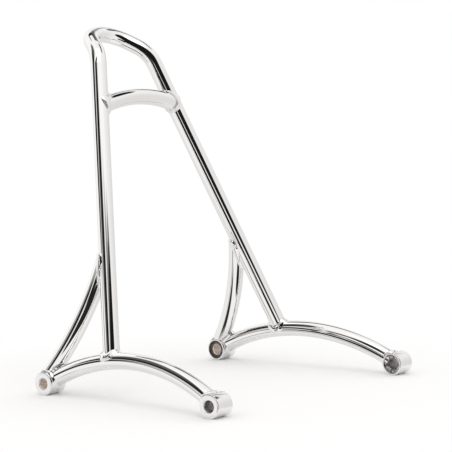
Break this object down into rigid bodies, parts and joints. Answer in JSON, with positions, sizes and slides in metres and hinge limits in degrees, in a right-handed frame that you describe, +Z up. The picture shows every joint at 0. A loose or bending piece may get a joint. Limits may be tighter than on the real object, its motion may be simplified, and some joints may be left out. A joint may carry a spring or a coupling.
{
  "type": "sissy bar",
  "caption": "Chromed bent-tube sissy bar: a leaning hoop with a cross arch, braced by curved stays on arched base tubes that end in bolt bosses.",
  "frame": {"origin": "on the floor plane under the middle of the bar, where it stands on its bosses", "axes": "+Z up, -Y towards the motorbike's front, +X to the rider's left; the middle plane is X = 0"},
  "size_m": [0.3018, 0.2773, 0.351],
  "materials": {
    "chromed_tube": "mirror chrome plate on smooth bent tube",
    "chromed_boss": "bright chrome plate on turned steel, duller inside the bolt hole and in the register of the inner end",
    "chromed_weld": "chrome plate over a smooth, slightly uneven weld fillet"
  },
  "bodies": {
    "root": {"hoop": "chromed_tube", "cross_arch": "chromed_tube", "left_base_arc": "chromed_tube", "right_base_arc": "chromed_tube", "left_strut": "chromed_tube", "right_strut": "chromed_tube", "left_rear_boss": "chromed_boss", "right_rear_boss": "chromed_boss", "left_front_boss": "chromed_boss", "right_front_boss": "chromed_boss", "left_foot_bead": "chromed_weld", "right_foot_bead": "chromed_weld", "left_arch_bead": "chromed_weld", "right_arch_bead": "chromed_weld", "left_strut_top_bead": "chromed_weld", "right_strut_top_bead": "chromed_weld", "left_rear_bead": "chromed_weld", "right_rear_bead": "chromed_weld", "left_front_bead": "chromed_weld", "right_front_bead": "chromed_weld"}
  },
  "joints": []
}
